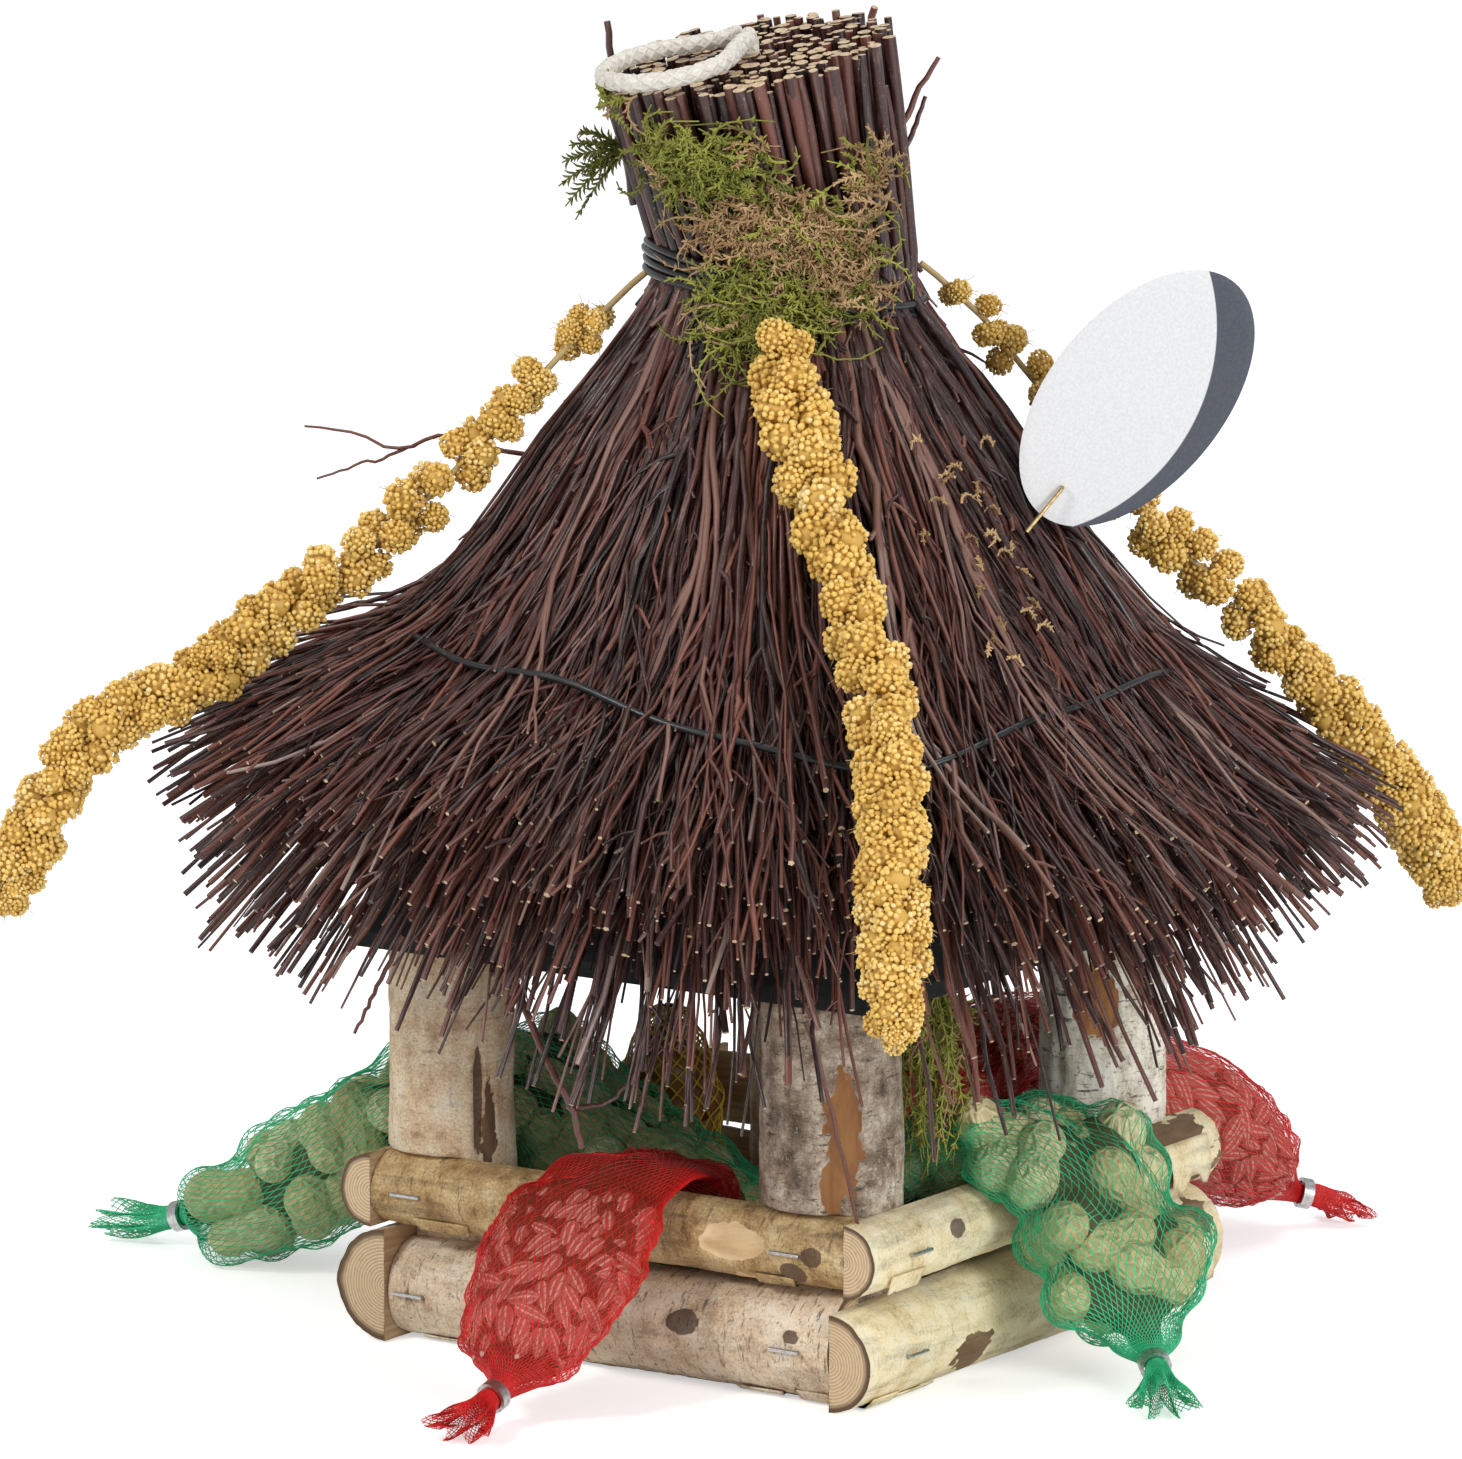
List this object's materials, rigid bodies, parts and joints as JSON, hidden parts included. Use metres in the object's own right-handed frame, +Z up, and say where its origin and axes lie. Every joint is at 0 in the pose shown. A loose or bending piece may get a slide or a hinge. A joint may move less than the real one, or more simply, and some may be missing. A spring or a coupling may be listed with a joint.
{
  "type": "bird feeder",
  "caption": "Free-standing bird feeder: split-log frame and posts under a hipped twig roof with millet sprays, net bags of nuts and seeds over the walls, and a cord loop on top.",
  "frame": {"origin": "middle of the floor board's underside, on the surface the feeder stands on", "axes": "+Z up; -Y out of the front wall, which is the long one in the picture's view; +X out of the right wall"},
  "size_m": [0.406, 0.4031, 0.3889],
  "materials": {
    "bark_log": "rough",
    "bark_post": "rough",
    "board": "matte",
    "steel": "satin",
    "black_board": "matte",
    "twig": "satin",
    "black_wire": "satin",
    "millet": "matte",
    "cord": "matte",
    "net_green": "satin",
    "net_red": "satin",
    "net_yellow": "satin",
    "clip": "satin",
    "card": "matte",
    "brass_wire": "satin",
    "moss": "matte"
  },
  "bodies": {
    "feeder": {"bag_inner_back": "net_red", "bag_inner_front": "net_red", "bag_inner_left": "net_green", "bag_inner_right": "net_green", "bag_yellow": "net_yellow", "base_log_back": "bark_log", "base_log_front": "bark_log", "base_log_left": "bark_log", "base_log_right": "bark_log", "cord_knot": "cord", "cord_legs": "cord", "eave_tie": "black_wire", "floor_board": "board", "floor_nails": "steel", "frame_staples": "steel", "moss_collar": "moss", "moss_tuft": "moss", "neck_tie": "black_wire", "post_back": "bark_post", "post_left": "bark_post", "post_near": "bark_post", "post_right": "bark_post", "rail_back": "bark_log", "rail_front": "bark_log", "rail_left": "bark_log", "rail_right": "bark_log", "roof_board": "board", "roof_nails": "steel", "roof_panel_back": "black_board", "roof_panel_front": "black_board", "roof_panel_left": "black_board", "roof_panel_right": "black_board", "twig_fan_back": "twig", "twig_fan_front": "twig", "twig_fan_left": "twig", "twig_fan_right": "twig"},
    "loop": {"hanging_loop": "cord"},
    "tag": {"tag": "card", "tag_wire": "brass_wire"},
    "bag_front": {"bag_outer_front": "net_red", "bag_clip_front": "clip"},
    "spray_front": {"millet_spray_front": "millet"},
    "bag_right": {"bag_outer_right": "net_green", "bag_clip_right": "clip"},
    "spray_right": {"millet_spray_right": "millet"},
    "bag_back": {"bag_outer_back": "net_red", "bag_clip_back": "clip"},
    "spray_back": {"millet_spray_back": "millet"},
    "bag_left": {"bag_outer_left": "net_green", "bag_clip_left": "clip"},
    "spray_left": {"millet_spray_left": "millet"}
  },
  "joints": [
    {"name": "bag_front_lift", "type": "hinge", "parent": "feeder", "child": "bag_front", "pos_m": [-0.004, -0.09, 0.077], "axis": [-1, 0, 0], "range_deg": [0, 35]},
    {"name": "bag_right_lift", "type": "hinge", "parent": "feeder", "child": "bag_right", "pos_m": [0.09, 0.005, 0.077], "axis": [0, -1, 0], "range_deg": [0, 35]},
    {"name": "bag_back_lift", "type": "hinge", "parent": "feeder", "child": "bag_back", "pos_m": [0.012, 0.09, 0.077], "axis": [1, 0, 0], "range_deg": [0, 25]},
    {"name": "bag_left_lift", "type": "hinge", "parent": "feeder", "child": "bag_left", "pos_m": [-0.09, -0.019, 0.077], "axis": [0, 1, 0], "range_deg": [0, 25]},
    {"name": "spray_left_lift", "type": "hinge", "parent": "feeder", "child": "spray_left", "pos_m": [-0.03249, -0.03249, 0.313], "axis": [-0.7071, 0.7071, 0], "range_deg": [0, 20]},
    {"name": "spray_front_lift", "type": "hinge", "parent": "feeder", "child": "spray_front", "pos_m": [0.03104, -0.03388, 0.313], "axis": [-0.7373, -0.6756, 0], "range_deg": [0, 20]},
    {"name": "spray_right_lift", "type": "hinge", "parent": "feeder", "child": "spray_right", "pos_m": [0.03249, 0.03249, 0.313], "axis": [0.7071, -0.7071, 0], "range_deg": [0, 20]},
    {"name": "spray_back_lift", "type": "hinge", "parent": "feeder", "child": "spray_back", "pos_m": [-0.03249, 0.03249, 0.313], "axis": [0.7071, 0.7071, 0], "range_deg": [0, 20]},
    {"name": "loop_raise", "type": "hinge", "parent": "feeder", "child": "loop", "pos_m": [-0.00587, -0.01331, 0.38613], "axis": [-0.9433, 0.3315, -0.0165], "range_deg": [0, 80]},
    {"name": "tag_lift", "type": "hinge", "parent": "feeder", "child": "tag", "pos_m": [0.08749, -0.00395, 0.24662], "axis": [0.5591, -0.8291, 0], "range_deg": [0, 20]}
  ]
}
